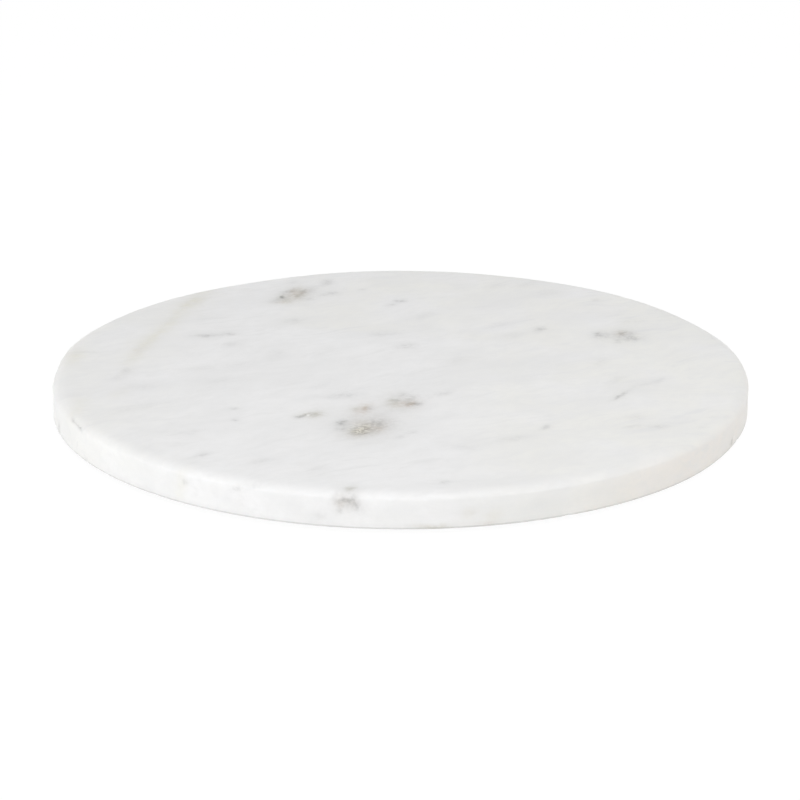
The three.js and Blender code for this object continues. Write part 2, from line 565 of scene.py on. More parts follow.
# %% Specks and streaks of the top face
face_mark(-35, 127, 8, 4.6, 80, grey=0.28)
face_mark(-31.8, 110.5, 6, 4.6, 20, grey=0.22)
face_mark(-36, 107.6, 5.6, 3.4, 10, grey=0.16)
face_mark(-18, 116, 4, 3, grey=0.14)
face_mark(-52, 128, 6, 5, grey=0.08)
face_mark(-0.6, 97.4, 5, 3.8, 20, grey=0.42)
face_mark(-4.6, 92.4, 4.2, 2.8, 40, grey=0.20)
face_mark(-87, 45.6, 8.6, 4.2, 12, grey=0.36)
face_mark(-77, 47.8, 6, 4, 12, grey=0.26)
face_mark(-75.4, 33, 7, 6, grey=0.13)
face_mark(-50, 68, 9, 8, grey=0.15)
face_mark(2.8, 31, 9, 7, 40, grey=0.22)
face_mark(-5, 49, 15, 7.6, 15, grey=0.10)
face_mark(-11.3, 47.4, 6, 4.4, 20, grey=0.12)
face_mark(62, 56, 6.4, 4, 60, grey=0.33)
face_mark(89.6, 99.4, 4.2, 3, 60, grey=0.18)
face_mark(91.6, -36.8, 6.5, 2.2, 58, grey=0.36)
face_mark(95, -31.4, 9, 1.9, 58, grey=0.22)
face_mark(103, -20, 16, 4, 45, grey=0.08)
face_mark(111, -15, 6, 3, 55, grey=0.14)
face_mark(59.4, -74, 5.4, 2.6, 60, grey=0.31)
face_mark(106, -72.6, 7, 4.2, 10, grey=0.18)
face_mark(95, -72.6, 7.6, 4.2, 10, grey=0.12)
face_mark(97, -61, 8, 5, 30, grey=0.10)
face_mark(124, -73, 3.4, 2.6, grey=0.09)
face_mark(129, -60.6, 3.4, 2.6, grey=0.10)
face_mark(45, -87.6, 12, 5, 29, grey=0.14)
face_mark(25, -98, 12, 5, -15, grey=0.09)
face_mark(17.6, -137, 4.2, 3.2, grey=0.24)
face_mark(-26, -36, 14, 7, 15, grey=0.185)
face_mark(-22.4, -34, 5, 4, 60, grey=0.08)
face_mark(17.6, -32.6, 9, 5, 30, grey=0.185)
face_mark(4.6, -80.4, 5, 3, grey=0.15)
face_mark(-0.2, -86, 4.6, 3, grey=0.14)
face_mark(-68, -66.6, 3, 2.6, grey=0.30)
face_mark(-69.4, -52.2, 3, 2.4, grey=0.22)
face_mark(-79, -107.6, 6.4, 3.4, 40, grey=0.22)
face_mark(-55, -114, 9, 5, 35, grey=0.12)
face_mark(-32, -122, 9, 6, grey=0.10)
face_mark(-86, -81, 7, 4.6, 40, grey=0.09)
print(len(marks), "marks so far")

# %% [markdown]
# One long golden vein comes in from the back edge on the left and fades towards a small grey spot. A single
# mark can't bend, so the vein is a chain of long marks that overlap. Around it lie stains that are felt more
# than seen: gold where iron has coloured the stone, grey where clay has.

# %% The golden vein and the faint stains
FAINT_STAIN = {"length": 12, "width": 6.4, "grey": 0.085}
FAINT_PLACES = ((-55, 20, 80), (-70, 5, 30), (-86, -1, 30), (-35, -24, 35), (-77, -16, 35), (25, 12, 40),
                (87, 10, 60), (92, -15, 60), (50, 47, 30), (44, 62, 30), (104, 68, 30), (45, 122, 40),
                (59, 124, 40), (-110, -25, 20), (70, 110, 30), (10, 75, 50))

vein([(-94, 108), (-99.4, 88), (-104.6, 64), (-110.4, 42), (-115, 24), (-118, 4)], 7, gold=0.20, grey=0.026)
vein([(-99, 90), (-104.4, 66), (-110, 44), (-115, 24)], 3.6, gold=0.07, grey=0.008)
face_mark(-96, 95, 32, 10, 74, gold=0.20, grey=0.055, rust=0.02)
face_mark(-115, 25, 15, 4.8, 75, rust=0.07)
face_mark(-119, -4, 7.4, 3.8, 80, grey=0.15)
face_mark(-121, -13, 9, 5.6, 60, grey=0.08)
face_mark(-119, -33, 16, 6, 70, gold=0.12, grey=0.02)
face_mark(-143.5, 15.5, 16, 8, 85, gold=0.40, olive=0.07)
face_mark(-137, 21.6, 13, 2.8, 4, grey=0.10)
face_mark(-135, -50, 24, 8, 80, gold=0.20)
vein([(-119, -58), (-108, -50), (-97, -41)], 8, grey=0.05)
for x, y, turn in FAINT_PLACES:
    face_mark(x, y, turn=turn, **FAINT_STAIN)
print(len(marks), "marks in the top face")

# %% [markdown]
# The rim shows the same stone cut straight down. Its one clear mark is a small arch of grey just left of the
# middle, which reaches a little way over the edge. Three broad marks on the right, one faintly grey and two
# gold, are painted warm shade over the whole height of the rim, for the side that faces away from the lamps.
# A mark of the top face would be smeared down a wall, so these are placed by their bearing and their height.

# %% Marks of the rim
rim_mark(-8.0, 10.4, 9, 7, grey=0.07, rust=0.05)
rim_mark(-8.9, 10.3, 4.6, 3.2, 75, rust=0.16, grey=0.12)
rim_mark(-8.1, 11.8, 5, 2.2, 5, grey=0.25)
rim_mark(-7.5, 10.9, 4, 3, -20, grey=0.10, rust=0.12)
rim_mark(-6.7, 10.2, 5.4, 2.6, -50, grey=0.37)
rim_mark(-6.9, 13.4, 3.2, 1.8, -30, grey=0.14)
rim_mark(-8.9, 6.7, 2.6, 1.8, grey=0.18)
rim_mark(-9.8, 13.2, 2.4, 1.8, 60, grey=0.12)
face_mark(-19.2, -143.8, 4.4, 3.6, 20, olive=0.30, grey=0.12)
face_mark(-17.2, -146.4, 3, 2.6, 20, grey=0.10)
rim_mark(-12.2, 3.9, 8, 4.4, 20, grey=0.10)
rim_mark(-34.5, 9.6, 2.2, 1.8, grey=0.26)
rim_mark(-25.3, 11.7, 7, 2.2, 30, grey=0.16)
rim_mark(-22.3, 13.4, 6, 2.6, 20, grey=0.10)
rim_mark(-35.3, 7.2, 11, 4.4, 85, gold=0.26)
rim_mark(5.2, 0.9, 12, 2, -3, olive=0.18, grey=0.10, gold=0.25)
rim_mark(13, 1, 8, 2.2, 0, rust=0.16)
rim_mark(10.1, 5.6, 7, 4.4, 20, gold=0.10, rust=0.05, grey=0.03)
rim_mark(14.1, 4.1, 7, 4.4, 20, gold=0.14, rust=0.03, grey=0.03)
rim_mark(67.2, 2.9, 2.8, 1.6, 20, grey=0.36, pit=0.12)
rim_mark(68.5, 3.7, 2.2, 1.4, bruise=0.35)
rim_mark(-73, 3.0, 5.4, 3.4, 70, grey=0.34)
# Painted warm shade over the right of the rim, which faces away from the lamps.
rim_mark(48, 4.5, 150, 15, gold=0.10)
rim_mark(37, 5, 90, 14, grey=0.02)
rim_mark(84, 5, 60, 14, gold=0.18)
print(len(marks), "marks so far")

# %% [markdown]
# The back of the rim gets marks of the same kind, because the block does not stop being marble where nobody
# looks. It could be left plain, but a board is turned about in use, and a bare half would look unfinished.
# The golden vein comes out there too.

# %% Marks at the back of the rim
rim_mark(118, 8, 12, 4, 40, grey=0.28, rust=0.08)
rim_mark(121, 10.5, 6, 3, 60, grey=0.34)
rim_mark(152, 6, 17, 3, 32, grey=0.16)
rim_mark(-139, 8, 10, 7, 70, gold=0.45, grey=0.05)
rim_mark(-142, 5, 14, 3, 70, gold=0.4, rust=0.05)
rim_mark(-112, 9, 13, 3.2, 28, grey=0.14)
rim_mark(-165, 7, 8, 3.8, 35, olive=0.26, grey=0.12)
rim_mark(176, 11, 6, 2.6, 30, grey=0.22)
rim_mark(99, 5, 9, 2.6, 30, grey=0.15)
print(len(marks), "marks so far")

# %% [markdown]
# Edges are where a stone gets hurt. On the left a hairline crack runs along the rounded edge, dark at both
# ends, and a small chip shows bright crushed stone. More chips sit along the lower edge, where boards knock
# against tables, and two at the back of the top edge. Colour alone would look right only from the front, so
# a chip is a mark with a deep pit in it, which becomes real geometry.

# %% Cracks and chips of the edge
CHIPS = ((-41, 0.4, 3.0, 0.25), (26, 0.3, 3.6, 0.3), (71, 0.5, 2.6, 0.25), (-118, 14.2, 2.6, 0.22),
         (135, 14.3, 3.4, 0.3), (164, 0.4, 4.2, 0.35), (-152, 0.4, 3.4, 0.3), (104, 0.3, 3.0, 0.25))
CHIP_WIDTH = 1.9
CHIP_BRUISE = 0.5
HURT_DEPTH = 2

rim_mark(-63.1, 13.8, 11, 0.8, -8, depth=HURT_DEPTH, grey=0.22, pit=0.12)
rim_mark(-64.9, 14.3, 3.4, 1.2, -10, depth=HURT_DEPTH, grey=0.62, pit=0.22)
rim_mark(-61.5, 13.2, 2.4, 1.0, -8, depth=HURT_DEPTH, grey=0.34, pit=0.10)
rim_mark(-91, 14.4, 3, 2.2, depth=HURT_DEPTH, bruise=0.9, pit=0.35)
for bearing, height, length, hollow in CHIPS:
    rim_mark(bearing, height, length, CHIP_WIDTH, depth=HURT_DEPTH, bruise=CHIP_BRUISE, pit=hollow)
print(len(marks), "marks in all")

# %% [markdown]
# A grain two millimetres wide would fall between the points of the skin, so faces under small marks are cut
# into four, and under the smallest into sixteen. Cutting everything so fine would be simpler, but would
# need a million faces for a mostly plain stone.

# %% Cut the skin finer under small marks
SMALL_MARK = 4.8
SMALLEST_MARK = 2.4
FINE_MARGIN = 0.8
FAINT = 0.12


def strength(mark):
    """The largest share that a mark holds, gold stains left aside because they are broad and soft."""
    return max(value for name, value in mark["holds"].items() if name != "gold")


def cut_finer(form, chosen_marks):
    """Cut the faces under the chosen marks into four."""
    form.faces.ensure_lookup_table()
    centres = np.array([face.calc_center_median() for face in form.faces]) / MM
    inside = np.zeros(len(centres), bool)
    for mark in chosen_marks:
        inside |= distance_in_mark(mark, centres, FINE_MARGIN) < 1
    edges = {edge for index in np.flatnonzero(inside) for edge in form.faces[index].edges}
    bmesh.ops.subdivide_edges(form, edges=list(edges), cuts=1, use_grid_fill=True)


clear_marks = [mark for mark in marks if "gold" not in mark["holds"] and strength(mark) > FAINT]
small_marks = [mark for mark in clear_marks if 2 * mark["size"][1] <= SMALL_MARK]
smallest_marks = [mark for mark in small_marks if 2 * mark["size"][1] <= SMALLEST_MARK]
skin = bmesh.new()
skin.from_mesh(slab_mesh)
cut_finer(skin, small_marks)
cut_finer(skin, smallest_marks)
skin.to_mesh(slab_mesh)
skin.free()
slab_triangles = sum(len(face.vertices) - 2 for face in slab_mesh.polygons)
print(len(small_marks), "marks with finer faces under them,", slab_triangles, "triangles")

# %% [markdown]
# Colours can be baked to one square picture, so the skin is laid flat: the top face as one large disc, the
# underside as a small one, and the rim as three straight strips. Blender's own unwrapping would work too, but
# would cut the top into pieces and give it no more room than the rest.
# First come the corners of all faces, and which of them belong to the top and to the underside.

# %% Sort the corners of the skin
corner_points = np.zeros(len(slab_mesh.loops), int)
slab_mesh.loops.foreach_get("vertex_index", corner_points)
corners = np.array([vertex.co for vertex in slab_mesh.vertices])[corner_points] / MM
face_starts = np.array([face.loop_start for face in slab_mesh.polygons])
face_counts = np.array([face.loop_total for face in slab_mesh.polygons])
lowest = np.repeat(np.minimum.reduceat(corners[:, 2], face_starts), face_counts)
highest = np.repeat(np.maximum.reduceat(corners[:, 2], face_starts), face_counts)
on_top = lowest > board_top - TOUCH
on_low = highest < board_bottom + TOUCH
face_centres = np.add.reduceat(corners, face_starts) / face_counts[:, None]
print(int(on_top.sum()), "corners on top,", int(on_low.sum()), "below,", len(corners), "in all")

# %% [markdown]
# The rim is unrolled like a label from a tin. A place along a strip comes from the bearing, and a place
# across it from the length down the rounded profile, so that nothing is stretched at the edges.

# %% Unroll the rim
SHEET_GAP = 0.01
STRIP_LENGTH = 0.96
RIM_STRIPS = 3


def down_the_rim(reach, height):
    """Length along the rim's profile, from the edge of the top face down to the underside."""
    upper = top_edge_radius * np.arctan2(reach - flat_top_radius, height - side_top)
    middle = top_edge_radius * math.pi / 2 + side_top - height
    lower = top_edge_radius * math.pi / 2 + side_top - side_low
    lower = lower + lower_edge_radius * np.arctan2(side_low - height, reach - flat_low_radius)
    return np.where(height > side_top, upper, np.where(height < side_low, lower, middle))


strip_turn = 2 * math.pi / RIM_STRIPS
face_turn = np.repeat(np.arctan2(face_centres[:, 1], face_centres[:, 0]), face_counts)
strip = np.minimum(((face_turn + math.pi) / strip_turn).astype(int), RIM_STRIPS - 1)
from_middle = np.arctan2(corners[:, 1], corners[:, 0]) - (strip + 0.5) * strip_turn + math.pi
from_middle = (from_middle + math.pi) % (2 * math.pi) - math.pi
strip_scale = STRIP_LENGTH / (strip_turn * board_radius)
strip_height = strip_scale * (math.pi / 2 * (top_edge_radius + lower_edge_radius) + side_top - side_low)
down = strip_scale * down_the_rim(np.hypot(corners[:, 0], corners[:, 1]), corners[:, 2])
sheet = np.column_stack([
    0.5 + from_middle * board_radius * strip_scale,
    SHEET_GAP + strip * (strip_height + SHEET_GAP) + strip_height - down,
])
print(RIM_STRIPS, "strips, each", round(strip_height, 3), "of the sheet high")

# %% [markdown]
# The two faces are simply seen from above and from below. Equal shares of the sheet would be simpler still,
# but the top gets most of it, because that is where people look, and the underside makes do with a corner.

# %% Lay the faces on the sheet
TOP_SHARE = 0.70
LOW_SHARE = 0.26

top_scale = TOP_SHARE / (2 * board_radius)
top_middle = np.array([SHEET_GAP + TOP_SHARE / 2, 1 - SHEET_GAP - TOP_SHARE / 2])
sheet[on_top] = (top_middle + corners[:, :2] * top_scale)[on_top]
low_scale = LOW_SHARE / (2 * board_radius)
low_middle = np.array([1 - SHEET_GAP - LOW_SHARE / 2, 1 - SHEET_GAP - LOW_SHARE / 2])
sheet[on_low] = (low_middle + corners[:, :2] * [-low_scale, low_scale])[on_low]
sheet_layer = slab_mesh.uv_layers.new(name="OFBake")
sheet_layer.data.foreach_set("uv", sheet.reshape(-1))
print("flat sheet from", sheet.min(0).round(3), "to", sheet.max(0).round(3))

# %% [markdown]
# Some of what follows needs smooth random numbers at the points of the skin, and the amount of a mineral
# there. A mark is strongest in its middle and fades like a bell. Marble lets light through, so mineral just
# below the surface shows as well: a small share of each mark is spread wider, as a faint halo.

# %% Measure the marks at the points
HALO_SHARE = 0.16
HALO_SPREAD = 2.2


def mesh_points(mesh):
    """The points of a mesh, in millimetres."""
    flat_list = np.zeros(3 * len(mesh.vertices))
    mesh.vertices.foreach_get("co", flat_list)
    return flat_list.reshape(-1, 3) / MM


def uneven(points, grain, seed):
    """Smooth random numbers from -1 to 1, one for each point, with lumps about a grain wide."""
    start = Vector((seed, 2 * seed, 3 * seed))
    return np.array([noise.noise(Vector(point) / grain + start) for point in points])


def mark_amount(name, points, halo=0.0):
    """How much of one mineral, or how deep a pit, the marks put at each point."""
    total = np.zeros(len(points))
    for mark in marks:
        if name in mark["holds"]:
            off = distance_in_mark(mark, points)
            fade = (1 - halo) * np.exp(-off) + halo * np.exp(-off / HALO_SPREAD**2)
            total += mark["holds"][name] * fade
    return total


stone_points = mesh_points(slab_mesh)
print(len(stone_points), "points to hold the marks")

# %% [markdown]
# A board ground and honed by hand is never a perfect circle, nor is its edge a perfect quarter of one. The
# outline gets a few broad, shallow flats, and three places between them are left a little proud. The honing
# pads tip over at the edge, so the rounding starts further in on the top than it ends down the side: its
# profile is a quarter of an ellipse, lying down. A bevel gives only round quarters, so the skin is lowered
# here by the difference between the two profiles.

# %% Grind the outline and hone the edge
GROUND_FLATS = ((-152, 12, 1.4), (-144, 26, 0.7), (-62, 30, 0.15), (-91, 7, 0.75), (-106, 8, -0.45),
                (66, 11, 0.65), (82, 22, 0.45), (105, 9, -0.6), (137, 14, -1.1))
HONED_WIDTH = 5.5


def outline_loss(bearings):
    """How far the grinding wheel went in at each bearing, in millimetres, or stayed out if below zero."""
    loss = np.zeros_like(bearings)
    for bearing, half_width, depth in GROUND_FLATS:
        off = (bearings - bearing + 180) % 360 - 180
        loss += depth * np.exp(-((off / half_width) ** 2))
    return loss


def edge_depth(reach, width):
    """Depth below the top face of a rounded edge that starts this far in from the rim."""
    share = np.clip((reach - board_radius) / width + 1, 0, 1)
    return top_edge_radius * (1 - np.sqrt(1 - share**2))


def honing_loss(points):
    """How much lower than the CAD edge the honed edge lies at each point."""
    reach = np.hypot(points[:, 0], points[:, 1])
    loss = edge_depth(reach, HONED_WIDTH) - edge_depth(reach, top_edge_radius)
    return np.where(points[:, 2] > side_top - TOUCH, loss, 0)


stone_bearings = np.degrees(np.arctan2(stone_points[:, 0], -stone_points[:, 1]))
ground_points = stone_points.copy()
ground_points[:, 2] -= honing_loss(stone_points)
ground_points[:, :2] *= (1 - outline_loss(stone_bearings) / board_radius)[:, None]
print(f"outline ground in by up to {outline_loss(stone_bearings).max():.2f} mm")

# %% [markdown]
# The skin sinks wherever a mark holds a pit. The hollows are pushed in along the surface's own direction, a
# little unevenly. A Displace modifier could do this from a texture, but here every hollow has a known place.

# %% Press in the hollows
PIT_GRAIN = 1.1
PIT_UNEVENNESS = 0.6
PIT_SEED = 3.1

stone_normals = np.array([vertex.normal for vertex in slab_mesh.vertices])
pits = mark_amount("pit", stone_points)
pits = pits * (1 + PIT_UNEVENNESS * uneven(stone_points, PIT_GRAIN, PIT_SEED))
hollowed = ground_points - stone_normals * pits[:, None]
slab_mesh.vertices.foreach_set("co", (hollowed * MM).reshape(-1))
slab_mesh.update()
print(f"deepest hollow {pits.max():.2f} mm")

# %% [markdown]
# The minerals are stored on the points themselves, as two colour attributes that the material reads later.
# Each mark could be a few nodes of the material instead, but so many would be slow and hard to read. The
# places are nudged by noise first, so that no mark keeps the clean outline of an ellipse.

# %% Store the minerals on the points
WANDER = ((1.0, 5.0), (0.5, 1.5))
WANDER_SEED = 5.3
AXIS_STEP = 7.7
LAYER_STEP = 1.9
MINERALS = ("grey", "rust", "olive", "gold")
STATES = ("crystal", "bruise")

wandered = stone_points.copy()
for layer_number, (amount, grain) in enumerate(WANDER):
    for axis in range(3):
        seed = WANDER_SEED + AXIS_STEP * axis + LAYER_STEP * layer_number
        wandered[:, axis] += amount * uneven(stone_points, grain, seed)


def store_on_points(mesh, title, names, halo):
    """Store up to four amounts as one colour attribute, and return the largest of each."""
    channels = np.zeros((len(mesh.vertices), 4), np.float32)
    for column, name in enumerate(names):
        channels[:, column] = np.clip(mark_amount(name, wandered, halo), 0, 1)
    attribute = mesh.attributes.new(title, "FLOAT_COLOR", "POINT")
    attribute.data.foreach_set("color", channels.reshape(-1))
    return dict(zip(names, channels.max(0).round(2).tolist()))


print("strongest minerals", store_on_points(slab_mesh, "minerals", MINERALS, HALO_SHARE))
print("strongest states", store_on_points(slab_mesh, "states", STATES, 0.0))

# %% [markdown]
# Now the marble's material. Most of its patterns are noise, so three helpers come first: a cloud of a given
# size, a way to bend a place so that the pattern flows, and a way to stretch it along the bedding of the
# stone. The sizes are in millimetres, since a texture at the wrong scale gives a stone away.

# %% Helpers for flowing noise
BEDDING_TILT = 20
FLOW_SIZE = 40
FLOW_AMOUNT = 22
NOISE_CENTRE = (0.5, 0.5, 0.5)

marble, stone = new_material("honed_marble")
stone_place = add_node(stone, "TexCoord")
stone_scaled = add_node(stone, "VectorMath", {"operation": "SCALE"}, Scale=1 / MM)
fill_socket(stone, stone_scaled.inputs[0], stone_place.outputs["Object"])
in_mm = stone_scaled.outputs[0]


def cloud(tree, place, size, detail=3.0, roughness=0.5, seed=0.0):
    """Soft noise whose blobs are about this wide, in the units of the place."""
    settings = {"noise_dimensions": "4D"}
    return add_node(
        tree, "TexNoise", settings, Vector=place, W=seed, Scale=1 / size, Detail=detail, Roughness=roughness
    )


def bent(tree, place, size, amount, seed):
    """The same place, pushed about by noise."""
    push = cloud(tree, place, size, detail=2.0, seed=seed).outputs["Color"]
    centred = add_node(tree, "VectorMath", {"operation": "SUBTRACT"})
    fill_socket(tree, centred.inputs[0], push)
    fill_socket(tree, centred.inputs[1], NOISE_CENTRE)
    scaled = add_node(tree, "VectorMath", {"operation": "SCALE"}, Scale=amount)
    fill_socket(tree, scaled.inputs[0], centred.outputs[0])
    added = add_node(tree, "VectorMath", {"operation": "ADD"})
    fill_socket(tree, added.inputs[0], place)
    fill_socket(tree, added.inputs[1], scaled.outputs[0])
    return added.outputs[0]


def along_bedding(tree, place, stretch):
    """The place as seen along the bedding, so that noise becomes streaks."""
    turn = (math.radians(BEDDING_TILT), 0, math.radians(BEDDING_TURN))
    settings = {"vector_type": "TEXTURE"}
    return add_node(tree, "Mapping", settings, Vector=place, Rotation=turn, Scale=(stretch, 1, 1)).outputs[0]


flowing = bent(stone, in_mm, FLOW_SIZE, FLOW_AMOUNT, seed=1.0)
print("noise flows along a bedding turned by", BEDDING_TURN, "degrees")

# %% [markdown]
# The ground of the marble is not one white. Its right side, its back and its far left are a little creamier,
# and low on the right, where only the rim shows it, a warm painted shade darkens the colour a little, for the
# side that faces away from the lamps. Noise alone would put these colours anywhere, so the place in the stone
# decides where they start and where they are full. It is the bent place, so that no border runs straight.

# %% Ground colour of the marble
STONE_WHITE = (0.836, 0.835, 0.837, 1)
CREAM = (0.822, 0.818, 0.772, 1)
CREAM_RIGHT = {"starts": (10, 60), "share": 0.60}
CREAM_LEFT = {"starts": (-75, -130), "share": 0.40}
CREAM_BACK = {"starts": (35, 65), "reach": 80}
CREAM_PATCH = {"size": 38, "shows": (0.3, 0.6)}
WARM_SHADE = (0.842, 0.802, 0.764, 1)
WARM_SHADE_RIGHT = (50, 120)
WARM_SHADE_SHARE = 0.95
WARM_SHADE_DEPTH = 5.0

sides = add_node(stone, "SeparateXYZ", Vector=flowing)
back_reach = soft_range(stone, sides.outputs["Y"], *CREAM_BACK["starts"], 0.0, CREAM_BACK["reach"])
cream_side = sums(stone, "ADD", sides.outputs["X"], back_reach)
cream_right = soft_range(stone, cream_side, *CREAM_RIGHT["starts"], 0.0, CREAM_RIGHT["share"])
cream_left = soft_range(stone, sides.outputs["X"], *CREAM_LEFT["starts"], 0.0, CREAM_LEFT["share"])
cream_noise = cloud(stone, flowing, CREAM_PATCH["size"], seed=5.0).outputs[0]
cream_patches = soft_range(stone, cream_noise, *CREAM_PATCH["shows"])
cream = sums(stone, "MULTIPLY", sums(stone, "ADD", cream_right, cream_left), cream_patches)
ground = mix_colours(stone, cream, STONE_WHITE, CREAM)
heights = add_node(stone, "SeparateXYZ", Vector=in_mm).outputs["Z"]
# Painted shade: a warm, slightly darker tone low on the right of the rim.
warm_shade_below_top = soft_range(stone, heights, board_top, board_top - WARM_SHADE_DEPTH, 0.0, WARM_SHADE_SHARE)
warm_shade = sums(stone, "MULTIPLY", warm_shade_below_top, soft_range(stone, sides.outputs["X"], *WARM_SHADE_RIGHT))
ground = mix_colours(stone, warm_shade, ground, WARM_SHADE)
print("ground colour uses", len(stone.nodes), "nodes")

# %% [markdown]
# Grey veils of several sizes lie in the ground, and thin wisps run along the bedding. Marks could draw them,
# but nobody looks for one veil by its place, so noise is enough. Each has a size, a stretch along the
# bedding, the part of the noise that shows, and the share that is mixed in. The wisps keep to some parts of
# the stone.

# %% Veils and wisps
VEIL_GREY = (0.754, 0.755, 0.754, 1)
VEILS = (
    {"size": 26, "stretch": 2.2, "shows": (0.40, 0.72), "share": 0.42, "seed": 2.0},
    {"size": 8.5, "stretch": 2.0, "shows": (0.38, 0.74), "share": 0.36, "seed": 12.0},
    {"size": 2.6, "stretch": 2.0, "shows": (0.36, 0.74), "share": 0.31, "seed": 22.0},
)
WISPS = {"size": 4.2, "stretch": 5.5, "shows": (0.52, 0.74), "share": 0.70, "seed": 3.0}
WISP_ROOM = {"size": 30, "shows": (0.40, 0.62)}


def veil_amount(veil):
    """How much of a veil lies at each place of the stone."""
    place = along_bedding(stone, flowing, veil["stretch"])
    veil_noise = cloud(stone, place, veil["size"], seed=veil["seed"]).outputs[0]
    return soft_range(stone, veil_noise, *veil["shows"], 0.0, veil["share"])


for veil in VEILS:
    ground = mix_colours(stone, veil_amount(veil), ground, VEIL_GREY)
room_noise = cloud(stone, flowing, WISP_ROOM["size"], detail=2, seed=4.0).outputs[0]
wisp_room = soft_range(stone, room_noise, *WISP_ROOM["shows"])
ground = mix_colours(stone, sums(stone, "MULTIPLY", veil_amount(WISPS), wisp_room), ground, VEIL_GREY)
print(len(VEILS), "veils and the wisps bring it to", len(stone.nodes), "nodes")

# %% [markdown]
# Over the ground come the minerals stored on the points. Fine noise breaks each of them into grains, because
# the points are too far apart to hold that. They are mixed in one after the other, the golden stain first and
# the grey grains last, so that dark grains lie over stains.

# %% Minerals in the marble
MINERAL_LOOKS = {
    "gold": {"colour": (0.77, 0.752, 0.645, 1), "grain": 7.0, "seed": 10.0},
    "olive": {"colour": (0.38, 0.36, 0.26, 1), "grain": 1.6, "seed": 11.0},
    "rust": {"colour": (0.46, 0.36, 0.265, 1), "grain": 2.0, "seed": 12.0},
    "grey": {"colour": (0.27, 0.27, 0.265, 1), "grain": 1.8, "seed": 13.0},
}
GRAIN_SHOWS = (0.34, 0.66)
GRAIN_SWING = (0.62, 1.38)

minerals = add_node(stone, "Attribute", {"attribute_name": "minerals"})
mineral_parts = add_node(stone, "SeparateColor", Color=minerals.outputs["Color"])
stored_amounts = dict(zip(MINERALS, [*mineral_parts.outputs, minerals.outputs["Alpha"]]))


def grains(amount, size, seed):
    """An amount broken up into grains of a size, with its mean about kept."""
    grit = cloud(stone, in_mm, size, detail=4, roughness=0.62, seed=seed).outputs[0]
    return sums(stone, "MULTIPLY", amount, soft_range(stone, grit, *GRAIN_SHOWS, *GRAIN_SWING), clamp=True)


mineral_grains = {}
coloured = ground
for name, look in MINERAL_LOOKS.items():
    mineral_grains[name] = grains(stored_amounts[name], look["grain"], look["seed"])
    coloured = mix_colours(stone, mineral_grains[name], coloured, look["colour"])
print("marble now has", len(stone.nodes), "nodes")

# %% [markdown]
# Crystals are small cells, some pale and some dark, as in a broken sugar lump. Noise would only give clouds,
# so a Voronoi texture makes the cells, at places bent a little to keep their sides from running straight. A
# bruise is paler than the stone, since crushed marble turns white.

# %% Crystals and bruises
BRUISED = (0.93, 0.93, 0.92, 1)
PALE_CRYSTAL = (0.80, 0.765, 0.665, 1)
DARK_CRYSTAL = (0.31, 0.27, 0.215, 1)
CRYSTAL_SIZE = 1.25
CRYSTAL_SHARE = 0.6
CELL_BEND = {"size": 1.2, "amount": 0.8, "seed": 14.0}
PALE_CELLS = (0.5, 0.7)

states = add_node(stone, "Attribute", {"attribute_name": "states"})
state_parts = add_node(stone, "SeparateColor", Color=states.outputs["Color"])
cells = add_node(stone, "TexVoronoi", Vector=bent(stone, in_mm, **CELL_BEND), Scale=1 / CRYSTAL_SIZE)
cell_shade = add_node(stone, "SeparateColor", Color=cells.outputs["Color"])
pale_cell = soft_range(stone, cell_shade.outputs[0], *PALE_CELLS)
crystal_colour = mix_colours(stone, pale_cell, DARK_CRYSTAL, PALE_CRYSTAL)
crystal_amount = sums(stone, "MULTIPLY", state_parts.outputs[0], CRYSTAL_SHARE)
coloured = mix_colours(stone, crystal_amount, coloured, crystal_colour)
coloured = mix_colours(stone, state_parts.outputs[1], coloured, BRUISED)
print("crystal cells", CRYSTAL_SIZE, "mm wide")

# %% [markdown]
# Marble is a mass of tiny crystals, like packed sugar, and each one is a slightly different white: a second
# Voronoi texture, finer than the first, gives each its own shade. The underside was only sawn from the block
# and keeps faint straight saw lines. It could have a material of its own, but then a hard border would run
# round the edge, so the underside is known by the direction that its surface faces.

# %% Sugar grain and saw lines
SUGAR_SIZE = 0.9
SUGAR_SHARE = 0.09
SAW_LINE_WIDTH = 1.7
SAW_LINE_LENGTH = 90
SAW_LINE_SHARE = 0.12
SAW_LINE_SHOWS = (0.35, 0.65)
FACES_DOWN = (-0.7, -0.95)

normal_parts = add_node(stone, "SeparateXYZ", Vector=stone_place.outputs["Normal"])
sawn = soft_range(stone, normal_parts.outputs["Z"], *FACES_DOWN)
saw_settings = {"vector_type": "TEXTURE"}
saw_place = add_node(stone, "Mapping", saw_settings, Vector=in_mm, Scale=(SAW_LINE_LENGTH, 1, 1))
saw_noise = cloud(stone, saw_place.outputs[0], SAW_LINE_WIDTH, roughness=0.6, seed=21.0).outputs[0]
saw_lines = sums(stone, "MULTIPLY", soft_range(stone, saw_noise, *SAW_LINE_SHOWS), sawn)
sugar = add_node(stone, "TexVoronoi", Vector=in_mm, Scale=1 / SUGAR_SIZE)
sugar_shade = add_node(stone, "SeparateColor", Color=sugar.outputs["Color"])
sugar_amount = soft_range(stone, sugar_shade.outputs[1], 0.0, 1.0, 0.0, SUGAR_SHARE)
body_colour = mix_colours(stone, sugar_amount, coloured, VEIL_GREY)
saw_amount = sums(stone, "MULTIPLY", saw_lines, SAW_LINE_SHARE)
body_colour = mix_colours(stone, saw_amount, body_colour, VEIL_GREY)
print("sugar grain", SUGAR_SIZE, "mm, saw lines", SAW_LINE_WIDTH, "mm")

# %% [markdown]
# The lower edge is left as it was sawn too, and painted shade darkens it where the stone stands close over
# the paper: a faint shade low on the side, and much more at the very edge. An ambient occlusion node could
# look for such places, but would find the chips and pits as well, so the height above the underside decides,
# in two layers.

# %% Painted shade on the lower edge
EDGE_SHADE_GREY = (0.27, 0.265, 0.255, 1)
EDGE_SHADE_LAYERS = (
    {"top": 3.2, "full": 0.8, "share": 0.075},
    {"top": 1.3, "full": 0.4, "share": 0.43},
)

